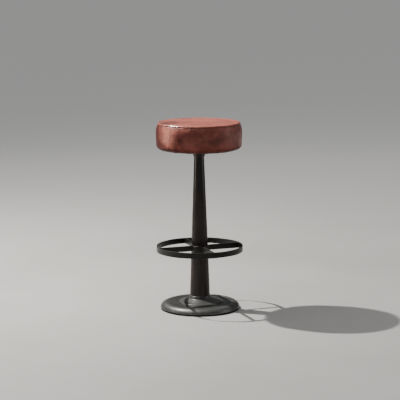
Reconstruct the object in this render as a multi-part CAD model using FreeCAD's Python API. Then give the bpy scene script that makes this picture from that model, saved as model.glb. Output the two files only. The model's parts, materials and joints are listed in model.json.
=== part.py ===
import FreeCAD, Part
import math
import os

# A swivel bar stool: a round leather seat on a tapered column, with a foot ring and a cast base.
# Lengths are in millimetres and angles in degrees. Z points up, and Z = 0 is the floor, under the
# middle of the base.

# Clearances
seat_fit = 0.1             # round a piece that is pressed or welded into its place
slip_fit = 0.15            # round a piece that slides on before it is clamped
running_fit = 0.05         # between the spindle and the bush that guides it
soft_gap = 0.3             # between soft pieces
cut_overrun = 5.0          # how far a cut runs past the faces that it opens

# Floor ring
floor_ring_radius = 161.8
floor_ring_width = 16.0
floor_ring_height = 7.0
floor_ring_edge = 0.6
floor_rib_inset = 6.0      # of the rib that keys into the base, behind the ring's outer edge
floor_rib_width = 4.0
floor_rib_height = 1.5

# Base casting, from the rim inwards
base_radius = 162.5
base_rim_height = 4.0
base_deck_height = 19.5    # above the casting's own underside
shoulder_width = 29.5
shoulder_rise = 1.0        # of the shoulder's crest above the deck
deck_width = 36.0
ridge_width = 4.0
ridge_height = 0.7
groove_width = 3.5
groove_depth = 1.8
boss_foot_width = 6.5
boss_foot_rise = 5.0
boss_sag = 0.8             # how hollow the boss's slope is
neck_height = 39.0         # above the casting's own underside
neck_round = 4.0
register_height = 10.0     # of the plug that centres the column
register_chamfer = 1.5
nut_recess_radius = 30.0
nut_recess_depth = 18.0
pocket_inner_radius = 48.0
pocket_outer_radius = 108.0
pocket_depth = 12.0
pocket_round = 6.0
rib_count = 8
rib_thickness = 8.0

# Column
column_top_height = 630.0
column_top_radius = 20.6
column_foot_radius = 41.6
column_wall = 4.0

# Foot collar, two beads round the column's foot
foot_collar_wall = 2.4
lower_bead_height = 5.2
upper_bead_height = 4.2
bead_step = 0.9            # of the upper bead behind the lower one
bead_round = 1.0

# Tie rod and what clamps it
rod_radius = 6.0
rod_chamfer = 1.0
rod_bore_gap = 0.7         # round the rod where it passes through the base
rod_end_gap = 2.0          # between the rod's top and the bush above it
rod_thread_length = 14.0
rod_stub = 2.0             # of the rod below its nut
base_washer_radius = 20.0
base_washer_height = 3.0
lock_washer_width = 4.0
lock_washer_height = 2.5
lock_washer_slit = 1.5
nut_width = 19.0           # across the flats
nut_height = 10.0
nut_chamfer = 0.8

# Foot ring
foot_ring_radius = 177.0
foot_ring_height = 240.5   # of its lower edge above the floor
bar_height = 22.5
bar_thickness = 5.0
bar_edge = 0.8
spoke_count = 4
hub_wall = 2.0
hub_edge = 0.6
hub_screw_count = 2
hub_screw_radius = 2.5
hub_screw_length = 9.0
hub_screw_head_radius = 4.75
hub_screw_head_height = 2.75

screw_chamfer = 0.8

# Ball bearing
bearing_bore_radius = 10.0
bearing_radius = 21.0
bearing_width = 12.0
ball_radius = 3.175
ball_count = 9
race_play = 0.1
inner_land_radius = 12.9
outer_land_radius = 18.1
cage_wall = 2.4
cage_height = 8.0
cage_play = 0.15
seal_height = 0.8
seal_inset = 0.2

# Bearing housing
cup_wall = 2.8
cup_floor = 5.0
cup_round = 3.0
cup_edge = 0.8
cup_lip = 1.5              # above the circlip's groove
relief_radius = 15.0
relief_depth = 2.5
housing_bore_radius = 12.5

# Retaining rings
housing_clip_height = 1.75
housing_clip_width = 3.4
housing_clip_depth = 1.1   # how far it stands in its groove
spindle_clip_height = 1.2
spindle_clip_width = 3.4
spindle_clip_depth = 0.6
clip_play = 0.05
clip_gap_width = 7.0
clip_ear_radius = 1.9
clip_ear_hole_radius = 0.8

# Lower bush
bush_wall = 3.0
bush_flange_height = 1.5
bush_flange_width = 1.4
bush_length = 13.0
bush_drop = 15.0           # of the bush's flange below the column's top

# Swivel spindle
spindle_radius = 8.0
spindle_shoulder_radius = 12.6
spindle_head_radius = 9.0
spindle_collar_height = 1.6
spindle_chamfer = 0.8
spindle_end_gap = 1.5

# Seat plate and its screws
plate_running_gap = 5.2    # between the housing and the turning plate
plate_radius = 80.0
plate_thickness = 6.0
plate_edge = 1.0
plate_screw_count = 4
plate_screw_circle_radius = 60.0
plate_screw_radius = 3.0
plate_screw_length = 22.0
plate_screw_head_radius = 5.6
plate_screw_head_height = 3.3
plate_hole_gap = 0.3
tee_nut_wall = 1.1
tee_nut_length = 10.0
tee_nut_flange_radius = 10.0
tee_nut_flange_height = 1.5

# Seat board
board_inset = 25.0         # of its edge behind the leather's widest place
board_thickness = 18.0

# Leather cover and foam
seat_radius = 175.0
leather_thickness = 1.6
under_edge_radius = 24.0   # of the round lower edge
under_edge_inset = 26.0
under_edge_angle = 66.0
belly_height = 55.5        # of the widest place above the leather's underside
seam_height = 102.8
seam_inset = 7.7
piping_radius = 4.2
piping_inset = 5.0         # of its middle behind the seam's edge
piping_rise = 3.0          # of its middle above the seam
panel_rise = 3.3           # of the panel's rim above the middle of the piping
crown_height = 4.6
turn_under_width = 37.0    # of the flat strip of leather under the seat

# Dust cover and staples
cover_inset = 4.5          # of its hem behind the outer edge of that strip
cover_thickness = 0.6
staple_count = 36
staple_crown_width = 10.0
staple_leg_length = 7.0
staple_wire_width = 1.2
staple_wire_height = 0.6

# Places that follow from the sizes
full_turn = 360.0
half_turn = 180.0
quarter_turn = 90.0
hexagon_sides = 6
round_share = math.sqrt(0.5)
up = FreeCAD.Vector(0, 0, 1)
origin = FreeCAD.Vector(0, 0, 0)

base_bottom = floor_ring_height
floor_rib_radius = floor_ring_radius - floor_rib_inset
floor_rib_top = base_bottom + floor_rib_height
base_deck = base_bottom + base_deck_height
neck_top = base_bottom + neck_height
register_top = neck_top + register_height
nut_recess_top = base_bottom + nut_recess_depth
neck_radius = column_foot_radius + slip_fit + foot_collar_wall

foot_ring_top = foot_ring_height + bar_height
hoop_inner_radius = foot_ring_radius - bar_thickness
spoke_pitch = full_turn / spoke_count

cup_radius = bearing_radius + seat_fit + cup_wall
bearing_bottom = column_top_height + cup_floor
bearing_top = bearing_bottom + bearing_width
bearing_middle = bearing_bottom + bearing_width / 2
ball_circle_radius = (bearing_bore_radius + bearing_radius) / 2
housing_groove_top = bearing_top + housing_clip_height + clip_play
cup_top = housing_groove_top + cup_lip
bush_flange_top = column_top_height - bush_drop
bush_bottom = bush_flange_top - bush_flange_height - bush_length
bush_radius = spindle_radius + running_fit + bush_wall
rod_top = bush_bottom - rod_end_gap
housing_bottom = rod_top - rod_thread_length

plate_bottom = cup_top + plate_running_gap
plate_top = plate_bottom + plate_thickness
board_bottom = plate_top + cover_thickness
board_top = board_bottom + board_thickness
board_radius = seat_radius - board_inset
board_round = under_edge_inset - board_inset
seat_underside = board_bottom - leather_thickness
seam_radius = seat_radius - seam_inset
seam_level = seat_underside + seam_height
belly_level = seat_underside + belly_height
under_edge_center_radius = seat_radius - under_edge_inset
under_edge_center_level = seat_underside + under_edge_radius
turn_under_radius = under_edge_center_radius - turn_under_width
cover_radius = under_edge_center_radius - cover_inset
staple_circle_radius = (turn_under_radius + cover_radius) / 2
piping_circle_radius = seam_radius - piping_inset
piping_level = seam_level + piping_rise
foam_shoulder_level = piping_level - piping_radius - soft_gap
panel_radius = piping_circle_radius - piping_radius - soft_gap
panel_rim_level = piping_level + panel_rise
panel_top = panel_rim_level + crown_height

base_washer_bottom = nut_recess_top - base_washer_height
lock_washer_bottom = base_washer_bottom - lock_washer_height
nut_bottom = lock_washer_bottom - nut_height
rod_bottom = nut_bottom - rod_stub


def column_radius(level):
    """Outer radius of the tapered column at a height above the floor."""
    share = (level - neck_top) / (column_top_height - neck_top)
    return column_foot_radius + (column_top_radius - column_foot_radius) * share


# Shape helpers
def at(point):
    """A place in the XZ half plane, from a radius and a height."""
    return FreeCAD.Vector(point[0], 0, point[1])


def line(start, end):
    return Part.LineSegment(at(start), at(end)).toShape()


def arc(start, middle, end):
    return Part.Arc(at(start), at(middle), at(end)).toShape()


def lines(points):
    """Straight edges from each point to the next."""
    return [line(start, end) for start, end in zip(points, points[1:])]


def turned(edges):
    """The solid that a closed outline makes when it turns about the Z axis."""
    face = Part.Face(Part.Wire(edges))
    return face.revolve(origin, up, full_turn)


def cylinder(radius, bottom, top):
    return Part.makeCylinder(radius, top - bottom, FreeCAD.Vector(0, 0, bottom), up)


def ring(inner_radius, outer_radius, bottom, top):
    hole = cylinder(inner_radius, bottom - cut_overrun, top + cut_overrun)
    return cylinder(outer_radius, bottom, top).cut(hole)


def block(size_x, size_y, size_z, center):
    """A block round its middle point."""
    corner = FreeCAD.Vector(center[0] - size_x / 2, center[1] - size_y / 2, center[2] - size_z / 2)
    return Part.makeBox(size_x, size_y, size_z, corner)


def moved(shape, x, y, z):
    copy = shape.copy()
    copy.translate(FreeCAD.Vector(x, y, z))
    return copy


def spun(shape, angle):
    """A copy turned about the Z axis."""
    copy = shape.copy()
    copy.rotate(origin, up, angle)
    return copy


def around(shape, count):
    """Copies spread evenly about the Z axis."""
    return [spun(shape, full_turn * index / count) for index in range(count)]


def is_level(edge):
    """Whether a round edge lies flat, so that it is a rim and not a seam."""
    box = edge.BoundBox
    return box.ZLength < seat_fit and box.XLength > seat_fit


def rims(shape):
    return [edge for edge in shape.Edges if is_level(edge)]


def button_screw(radius, length, head_radius, head_height):
    """A button-head socket screw: its head stands on Z = 0 and its shank runs down."""
    crown_radius = head_radius / 2
    bulge = (crown_radius + (head_radius - crown_radius) * round_share, head_height * round_share)
    tip_radius = radius - screw_chamfer
    edges = [arc((head_radius, 0), bulge, (crown_radius, head_height))]
    edges += lines([
        (crown_radius, head_height),
        (0, head_height),
        (0, -length),
        (tip_radius, -length),
        (radius, screw_chamfer - length),
        (radius, 0),
        (head_radius, 0),
    ])
    socket_depth = head_height * round_share
    socket = hexagon(radius, head_height - socket_depth, head_height + cut_overrun)
    return turned(edges).cut(socket)


def hexagon_corner_radius(width):
    return width / 2 / math.cos(math.pi / hexagon_sides)


def hexagon(width, bottom, top):
    """A six-sided prism, with its width measured across the flats."""
    first = FreeCAD.Vector(hexagon_corner_radius(width), 0, bottom)
    corners = [first]
    for index in range(hexagon_sides):
        turn = FreeCAD.Rotation(up, full_turn * (index + 1) / hexagon_sides)
        corners.append(turn.multVec(first))
    face = Part.Face(Part.makePolygon(corners))
    return face.extrude(up * (top - bottom))


def retaining_ring(inner_radius, outer_radius, bottom, height, ear_circle_radius):
    """An open flat ring with an eared gap."""
    body = ring(inner_radius, outer_radius, bottom, bottom + height)
    gap_center = (ear_circle_radius, 0, bottom + height / 2)
    gap_length = 2 * (outer_radius - inner_radius) + 2 * clip_ear_radius
    body = body.cut(block(gap_length, clip_gap_width, height + cut_overrun, gap_center))
    ear_offset = clip_gap_width / 2 + clip_ear_radius * round_share
    for side in (-1, 1):
        ear = cylinder(clip_ear_radius, bottom, bottom + height)
        body = body.fuse(moved(ear, ear_circle_radius, side * ear_offset, 0))
    for side in (-1, 1):
        hole = cylinder(clip_ear_hole_radius, bottom - cut_overrun, bottom + height + cut_overrun)
        body = body.cut(moved(hole, ear_circle_radius, side * ear_offset, 0))
    return body.removeSplitter()


# Base
def base_pockets():
    """Lightening pockets in the casting's underside, with radial ribs between them."""
    top = base_bottom + pocket_depth
    hollow = ring(pocket_inner_radius, pocket_outer_radius, base_bottom - cut_overrun, top)
    rib_length = 2 * pocket_outer_radius
    rib_height = 2 * (pocket_depth + cut_overrun)
    rib = block(rib_length, rib_thickness, rib_height, (pocket_outer_radius, 0, base_bottom))
    for copy in around(rib, rib_count):
        hollow = hollow.cut(copy)
    pockets = []
    for pocket in hollow.Solids:
        corners = [edge for edge in pocket.Edges if edge.BoundBox.ZLength > pocket_depth]
        pockets.append(pocket.makeFillet(pocket_round, corners))
    return pockets


def base_casting():
    rim_top = base_bottom + base_rim_height
    crest_radius = base_radius - shoulder_width
    crest_level = base_deck + shoulder_rise
    ridge_outer_radius = crest_radius - deck_width
    ridge_inner_radius = ridge_outer_radius - ridge_width
    groove_inner_radius = ridge_inner_radius - groove_width
    boss_radius = groove_inner_radius - boss_foot_width
    boss_level = base_deck + boss_foot_rise
    slope_radius = neck_radius + neck_round
    slope_level = neck_top - neck_round
    register_radius = column_radius(register_top) - column_wall - slip_fit
    bore_radius = rod_radius + rod_bore_gap

    shoulder_bulge = (
        crest_radius + shoulder_width * round_share,
        rim_top + (crest_level - rim_top) * round_share,
    )
    ridge_crest = ((ridge_outer_radius + ridge_inner_radius) / 2, base_deck + ridge_height)
    groove_floor = ((ridge_inner_radius + groove_inner_radius) / 2, base_deck - groove_depth)
    boss_bulge = (
        boss_radius + boss_foot_width * round_share,
        base_deck + boss_foot_rise * round_share,
    )
    slope_middle = ((boss_radius + slope_radius) / 2, (boss_level + slope_level) / 2 - boss_sag)
    neck_hollow = (
        neck_radius + neck_round * (1 - round_share),
        neck_top - neck_round * round_share,
    )
    edges = lines([(nut_recess_radius, base_bottom), (base_radius, base_bottom), (base_radius, rim_top)])
    edges.append(arc((base_radius, rim_top), shoulder_bulge, (crest_radius, crest_level)))
    edges += lines([
        (crest_radius, crest_level),
        (crest_radius - shoulder_rise, base_deck),
        (ridge_outer_radius, base_deck),
    ])
    edges.append(arc((ridge_outer_radius, base_deck), ridge_crest, (ridge_inner_radius, base_deck)))
    edges.append(arc((ridge_inner_radius, base_deck), groove_floor, (groove_inner_radius, base_deck)))
    edges.append(arc((groove_inner_radius, base_deck), boss_bulge, (boss_radius, boss_level)))
    edges.append(arc((boss_radius, boss_level), slope_middle, (slope_radius, slope_level)))
    edges.append(arc((slope_radius, slope_level), neck_hollow, (neck_radius, neck_top)))
    edges += lines([
        (neck_radius, neck_top),
        (register_radius, neck_top),
        (register_radius, register_top - register_chamfer),
        (register_radius - register_chamfer, register_top),
        (bore_radius, register_top),
        (bore_radius, nut_recess_top),
        (nut_recess_radius, nut_recess_top),
        (nut_recess_radius, base_bottom),
    ])
    groove = ring(
        floor_rib_radius - floor_rib_width - slip_fit,
        floor_rib_radius + slip_fit,
        base_bottom - cut_overrun,
        floor_rib_top,
    )
    body = turned(edges).cut(groove)
    for pocket in base_pockets():
        body = body.cut(pocket)
    return body


def floor_ring():
    body = ring(floor_ring_radius - floor_ring_width, floor_ring_radius, 0, floor_ring_height)
    body = body.makeChamfer(floor_ring_edge, rims(body))
    rib = ring(floor_rib_radius - floor_rib_width, floor_rib_radius, floor_ring_edge, floor_rib_top)
    return body.fuse(rib).removeSplitter()


def foot_collar():
    lower_radius = neck_radius
    upper_radius = neck_radius - bead_step
    waist = neck_top + lower_bead_height
    top = waist + upper_bead_height
    bore_low = column_radius(neck_top) + slip_fit
    bore_high = column_radius(top) + slip_fit
    edges = lines([(bore_low, neck_top), (lower_radius - bead_round, neck_top)])
    edges.append(arc(
        (lower_radius - bead_round, neck_top),
        (lower_radius, (neck_top + waist) / 2),
        (lower_radius - bead_round, waist),
    ))
    edges += lines([(lower_radius - bead_round, waist), (upper_radius - bead_round, waist)])
    edges.append(arc(
        (upper_radius - bead_round, waist),
        (upper_radius, (waist + top) / 2),
        (upper_radius - bead_round, top),
    ))
    edges += lines([(upper_radius - bead_round, top), (bore_high, top), (bore_low, neck_top)])
    return turned(edges)


# Column and tie rod
def column():
    foot_bore = column_foot_radius - column_wall
    top_bore = column_top_radius - column_wall
    body = turned(lines([
        (foot_bore, neck_top),
        (column_foot_radius, neck_top),
        (column_top_radius, column_top_height),
        (top_bore, column_top_height),
        (foot_bore, neck_top),
    ]))
    for hole in hub_screw_holes():
        body = body.cut(hole)
    return body


def tie_rod():
    body = cylinder(rod_radius, rod_bottom, rod_top)
    return body.makeChamfer(rod_chamfer, rims(body))


def base_washer():
    return ring(rod_radius + seat_fit, base_washer_radius, base_washer_bottom, nut_recess_top)


def lock_washer():
    inner_radius = rod_radius + seat_fit
    outer_radius = inner_radius + lock_washer_width
    body = ring(inner_radius, outer_radius, lock_washer_bottom, base_washer_bottom)
    middle = (inner_radius + outer_radius) / 2
    slit_center = (middle, 0, (lock_washer_bottom + base_washer_bottom) / 2)
    slit_length = lock_washer_width + cut_overrun
    slit_height = lock_washer_height + cut_overrun
    return body.cut(block(slit_length, lock_washer_slit, slit_height, slit_center))


def base_nut():
    blank = cylinder(hexagon_corner_radius(nut_width), nut_bottom, lock_washer_bottom)
    blank = blank.makeChamfer(nut_chamfer, rims(blank))
    body = hexagon(nut_width, nut_bottom, lock_washer_bottom).common(blank)
    bore = cylinder(rod_radius + seat_fit, nut_bottom - cut_overrun, lock_washer_bottom + cut_overrun)
    return body.cut(bore)


# Foot ring
def hub_radius(level):
    return column_radius(level) + slip_fit + hub_wall


def foot_ring_hub():
    body = turned(lines([
        (column_radius(foot_ring_height) + slip_fit, foot_ring_height),
        (hub_radius(foot_ring_height) - hub_edge, foot_ring_height),
        (hub_radius(foot_ring_height), foot_ring_height + hub_edge),
        (hub_radius(foot_ring_top), foot_ring_top - hub_edge),
        (hub_radius(foot_ring_top) - hub_edge, foot_ring_top),
        (column_radius(foot_ring_top) + slip_fit, foot_ring_top),
        (column_radius(foot_ring_height) + slip_fit, foot_ring_height),
    ]))
    for hole in hub_screw_holes():
        body = body.cut(hole)
    return body


def foot_ring_hoop():
    body = ring(hoop_inner_radius, foot_ring_radius, foot_ring_height, foot_ring_top)
    return body.makeFillet(bar_edge, rims(body))


def foot_ring_spoke():
    """The spoke on the +X side: a flat bar on edge, coped to the hub and to the hoop."""
    middle_level = (foot_ring_height + foot_ring_top) / 2
    bar = block(foot_ring_radius, bar_thickness, bar_height, (foot_ring_radius / 2, 0, middle_level))
    long_edges = [edge for edge in bar.Edges if edge.BoundBox.XLength > foot_ring_radius / 2]
    bar = bar.makeFillet(bar_edge, long_edges)
    hub = Part.makeCone(
        hub_radius(foot_ring_height) + seat_fit,
        hub_radius(foot_ring_top) + seat_fit,
        bar_height,
        FreeCAD.Vector(0, 0, foot_ring_height),
        up,
    )
    inside = cylinder(hoop_inner_radius - seat_fit, foot_ring_height, foot_ring_top)
    return bar.cut(hub).common(inside)


def hub_screw_places(shape):
    """Copies of a shape made on the +X axis, moved midway between neighbouring spokes."""
    return [spun(shape, spoke_pitch * (index + 0.5)) for index in range(hub_screw_count)]


def hub_screw_holes():
    middle_level = (foot_ring_height + foot_ring_top) / 2
    start = column_radius(middle_level) - column_wall - cut_overrun
    length = hub_radius(middle_level) + cut_overrun - start
    place = FreeCAD.Vector(start, 0, middle_level)
    hole = Part.makeCylinder(hub_screw_radius + seat_fit, length, place, FreeCAD.Vector(1, 0, 0))
    return hub_screw_places(hole)


def hub_screws():
    middle_level = (foot_ring_height + foot_ring_top) / 2
    screw = button_screw(hub_screw_radius, hub_screw_length, hub_screw_head_radius, hub_screw_head_height)
    screw.rotate(origin, FreeCAD.Vector(0, 1, 0), quarter_turn)
    screw.translate(FreeCAD.Vector(hub_radius(middle_level - hub_screw_head_radius), 0, middle_level))
    return Part.makeCompound(hub_screw_places(screw))


# Bearing and its housing
def bearing_housing():
    spigot_radius = column_top_radius - column_wall - slip_fit
    bearing_seat = bearing_radius + seat_fit
    groove_radius = bearing_radius + housing_clip_depth + seat_fit
    relief_bottom = bearing_bottom - relief_depth
    flange_bottom = bush_flange_top - bush_flange_height
    bush_seat = bush_radius + seat_fit
    rod_thread = rod_radius + seat_fit
    cup_corner = (
        cup_radius - cup_round * (1 - round_share),
        column_top_height + cup_round * (1 - round_share),
    )
    edges = lines([
        (spigot_radius, housing_bottom),
        (spigot_radius, column_top_height),
        (cup_radius - cup_round, column_top_height),
    ])
    edges.append(arc(
        (cup_radius - cup_round, column_top_height),
        cup_corner,
        (cup_radius, column_top_height + cup_round),
    ))
    edges += lines([
        (cup_radius, column_top_height + cup_round),
        (cup_radius, cup_top - cup_edge),
        (cup_radius - cup_edge, cup_top),
        (bearing_seat, cup_top),
        (bearing_seat, housing_groove_top),
        (groove_radius, housing_groove_top),
        (groove_radius, bearing_top),
        (bearing_seat, bearing_top),
        (bearing_seat, bearing_bottom),
        (relief_radius, bearing_bottom),
        (relief_radius, relief_bottom),
        (housing_bore_radius, relief_bottom),
        (housing_bore_radius, flange_bottom),
        (bush_seat, flange_bottom),
        (bush_seat, bush_bottom),
        (rod_thread, bush_bottom),
        (rod_thread, housing_bottom),
        (spigot_radius, housing_bottom),
    ])
    return turned(edges)


def ball_track():
    """The round channel that the balls run in, with its play."""
    center = FreeCAD.Vector(0, 0, bearing_middle)
    return Part.makeTorus(ball_circle_radius, ball_radius + race_play, center, up)


def bearing_outer_ring():
    return ring(outer_land_radius, bearing_radius, bearing_bottom, bearing_top).cut(ball_track())


def bearing_inner_ring():
    return ring(bearing_bore_radius, inner_land_radius, bearing_bottom, bearing_top).cut(ball_track())


def bearing_balls():
    ball = Part.makeSphere(ball_radius, FreeCAD.Vector(ball_circle_radius, 0, bearing_middle))
    return Part.makeCompound(around(ball, ball_count))


def ball_cage():
    body = ring(
        ball_circle_radius - cage_wall / 2,
        ball_circle_radius + cage_wall / 2,
        bearing_middle - cage_height / 2,
        bearing_middle + cage_height / 2,
    )
    start = FreeCAD.Vector(ball_circle_radius - cage_wall, 0, bearing_middle)
    pocket = Part.makeCylinder(ball_radius + cage_play, 2 * cage_wall, start, FreeCAD.Vector(1, 0, 0))
    for hole in around(pocket, ball_count):
        body = body.cut(hole)
    return body


def bearing_seals():
    inner_radius = inner_land_radius + soft_gap
    outer_radius = outer_land_radius - seat_fit
    low = bearing_bottom + seal_inset
    high = bearing_top - seal_inset
    return Part.makeCompound([
        ring(inner_radius, outer_radius, low, low + seal_height),
        ring(inner_radius, outer_radius, high - seal_height, high),
    ])


def housing_circlip():
    outer_radius = bearing_radius + housing_clip_depth
    inner_radius = outer_radius - housing_clip_width
    return retaining_ring(inner_radius, outer_radius, bearing_top, housing_clip_height, inner_radius)


def spindle_circlip():
    inner_radius = bearing_bore_radius - spindle_clip_depth
    outer_radius = inner_radius + spindle_clip_width
    ear_circle_radius = outer_radius - clip_ear_radius / 2
    bottom = bearing_bottom - spindle_clip_height
    return retaining_ring(inner_radius, outer_radius, bottom, spindle_clip_height, ear_circle_radius)


def spindle_bush():
    bore_radius = spindle_radius + running_fit
    flange_radius = bush_radius + bush_flange_width - seat_fit
    flange_bottom = bush_flange_top - bush_flange_height
    return turned(lines([
        (bore_radius, bush_bottom),
        (bush_radius, bush_bottom),
        (bush_radius, flange_bottom),
        (flange_radius, flange_bottom),
        (flange_radius, bush_flange_top),
        (bore_radius, bush_flange_top),
        (bore_radius, bush_bottom),
    ]))


def swivel_spindle():
    journal_radius = bearing_bore_radius - running_fit
    groove_radius = bearing_bore_radius - spindle_clip_depth - running_fit
    groove_bottom = bearing_bottom - spindle_clip_height - clip_play
    collar_bottom = groove_bottom - spindle_collar_height
    tip = bush_bottom + spindle_end_gap
    return turned(lines([
        (0, tip),
        (spindle_radius - spindle_chamfer, tip),
        (spindle_radius, tip + spindle_chamfer),
        (spindle_radius, collar_bottom),
        (journal_radius, collar_bottom),
        (journal_radius, groove_bottom),
        (groove_radius, groove_bottom),
        (groove_radius, bearing_bottom),
        (journal_radius, bearing_bottom),
        (journal_radius, bearing_top),
        (spindle_shoulder_radius, bearing_top),
        (spindle_shoulder_radius, plate_bottom),
        (spindle_head_radius, plate_bottom),
        (spindle_head_radius, plate_top),
        (0, plate_top),
        (0, tip),
    ]))


# Seat plate and its screws
def plate_screw_places(shape):
    """Copies of a shape made on the Z axis, moved onto the plate's circle of screws."""
    first = moved(shape, plate_screw_circle_radius, 0, 0)
    first = spun(first, half_turn / plate_screw_count)
    return around(first, plate_screw_count)


def plate_screw_holes(radius, bottom, top):
    return plate_screw_places(cylinder(radius, bottom - cut_overrun, top + cut_overrun))


def seat_plate():
    body = ring(spindle_head_radius + seat_fit, plate_radius, plate_bottom, plate_top)
    outer_rims = [edge for edge in rims(body) if edge.BoundBox.XLength > plate_radius]
    body = body.makeFillet(plate_edge, outer_rims)
    for hole in plate_screw_holes(plate_screw_radius + plate_hole_gap, plate_bottom, plate_top):
        body = body.cut(hole)
    return body


def plate_screws():
    screw = button_screw(
        plate_screw_radius, plate_screw_length, plate_screw_head_radius, plate_screw_head_height
    )
    screw.rotate(origin, FreeCAD.Vector(1, 0, 0), half_turn)
    screw.translate(FreeCAD.Vector(0, 0, plate_bottom))
    return Part.makeCompound(plate_screw_places(screw))


def tee_nut_blank(gap):
    """A tee nut's outside, with its flange level with the board's top."""
    barrel_radius = plate_screw_radius + running_fit + tee_nut_wall + gap
    flange_bottom = board_top - tee_nut_flange_height
    barrel = cylinder(barrel_radius, board_top - tee_nut_length, board_top)
    return barrel.fuse(cylinder(tee_nut_flange_radius + gap, flange_bottom, board_top))


def tee_nuts():
    bore = cylinder(plate_screw_radius + running_fit, board_bottom, board_top + cut_overrun)
    return Part.makeCompound(plate_screw_places(tee_nut_blank(0).cut(bore)))


# Seat
def seat_board():
    body = cylinder(board_radius, board_bottom, board_top)
    lower_rim = [edge for edge in rims(body) if edge.BoundBox.ZMax < board_top - board_round]
    body = body.makeFillet(board_round, lower_rim)
    for hole in plate_screw_holes(plate_screw_radius + tee_nut_wall, board_bottom, board_top):
        body = body.cut(hole)
    for pocket in plate_screw_places(tee_nut_blank(seat_fit)):
        body = body.cut(pocket)
    return body


def under_edge_point(inset, angle):
    """A point of the seat's round lower edge, a given depth inside the leather's outer face."""
    radius = under_edge_radius - inset
    turn = math.radians(angle)
    return (
        under_edge_center_radius + radius * math.sin(turn),
        under_edge_center_level - radius * math.cos(turn),
    )


def seat_side(inset, start_angle, end_level):
    """The seat's side from its lower edge up to the seam, a given depth inside the leather."""
    middle_angle = (start_angle + under_edge_angle) / 2
    edge_start = under_edge_point(inset, start_angle)
    edge_end = under_edge_point(inset, under_edge_angle)
    lower = arc(edge_start, under_edge_point(inset, middle_angle), edge_end)
    side = arc(edge_end, (seat_radius - inset, belly_level), (seam_radius - inset, end_level))
    return [lower, side]


def crown_arc(rim_radius, rim_level, top_level):
    """The seat top's low dome, from the rim to the middle."""
    sphere_radius = (rim_radius ** 2 + (top_level - rim_level) ** 2) / (2 * (top_level - rim_level))
    middle_radius = rim_radius / 2
    drop = sphere_radius - math.sqrt(sphere_radius ** 2 - middle_radius ** 2)
    return arc((rim_radius, rim_level), (middle_radius, top_level - drop), (0, top_level))


def seat_side_band():
    outer = seat_side(0, 0, seam_level)
    inner = seat_side(leather_thickness, 0, seam_level)
    ends = lines([
        (under_edge_center_radius, seat_underside),
        (turn_under_radius, seat_underside),
        (turn_under_radius, board_bottom),
        (under_edge_center_radius, board_bottom),
    ])
    seam = line((seam_radius, seam_level), (seam_radius - leather_thickness, seam_level))
    return turned(outer + [seam, inner[1], inner[0]] + ends[::-1])


def seat_top_panel():
    inner_rim = panel_rim_level - leather_thickness
    inner_top = panel_top - leather_thickness
    edges = [
        crown_arc(panel_radius, panel_rim_level, panel_top),
        line((0, panel_top), (0, inner_top)),
        crown_arc(panel_radius, inner_rim, inner_top),
        line((panel_radius, inner_rim), (panel_radius, panel_rim_level)),
    ]
    return turned(edges)


def seat_piping():
    center = FreeCAD.Vector(0, 0, piping_level)
    return Part.makeTorus(piping_circle_radius, piping_radius, center, up)


def seat_foam():
    inset = leather_thickness + soft_gap
    foam_rim_level = panel_rim_level - inset
    foam_top = panel_top - inset
    foam_rim_radius = panel_radius - soft_gap
    pocket_radius = board_radius + soft_gap
    edge_reach = (pocket_radius - under_edge_center_radius) / (under_edge_radius - inset)
    start_angle = math.degrees(math.asin(edge_reach))
    edges = seat_side(inset, start_angle, foam_shoulder_level)
    edges += lines([
        (seam_radius - inset, foam_shoulder_level),
        (foam_rim_radius, foam_shoulder_level),
        (foam_rim_radius, foam_rim_level),
    ])
    edges.append(crown_arc(foam_rim_radius, foam_rim_level, foam_top))
    edges += lines([
        (0, foam_top),
        (0, board_top),
        (pocket_radius, board_top),
        under_edge_point(inset, start_angle),
    ])
    return turned(edges)


# Underside
def dust_cover():
    step_radius = turn_under_radius - soft_gap
    flat_radius = step_radius - leather_thickness
    fold = cover_thickness / 2
    body = turned(lines([
        (0, board_bottom),
        (flat_radius, board_bottom),
        (step_radius, seat_underside),
        (cover_radius, seat_underside),
        (cover_radius, seat_underside - cover_thickness),
        (step_radius - fold, seat_underside - cover_thickness),
        (flat_radius - fold, plate_top),
        (0, plate_top),
        (0, board_bottom),
    ]))
    for hole in plate_screw_holes(plate_screw_radius + plate_hole_gap, plate_top, board_bottom):
        body = body.cut(hole)
    return body


def cover_staples():
    face = seat_underside - cover_thickness
    crown_center = (staple_circle_radius, 0, face - staple_wire_height / 2)
    staple = block(staple_wire_width, staple_crown_width, staple_wire_height, crown_center)
    leg_offset = (staple_crown_width - staple_wire_height) / 2
    leg_height = staple_leg_length + staple_wire_height
    leg_level = face - staple_wire_height + leg_height / 2
    for side in (-1, 1):
        leg_center = (staple_circle_radius, side * leg_offset, leg_level)
        leg = block(staple_wire_width, staple_wire_height, leg_height, leg_center)
        staple = staple.fuse(leg)
    return Part.makeCompound(around(staple.removeSplitter(), staple_count))


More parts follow.
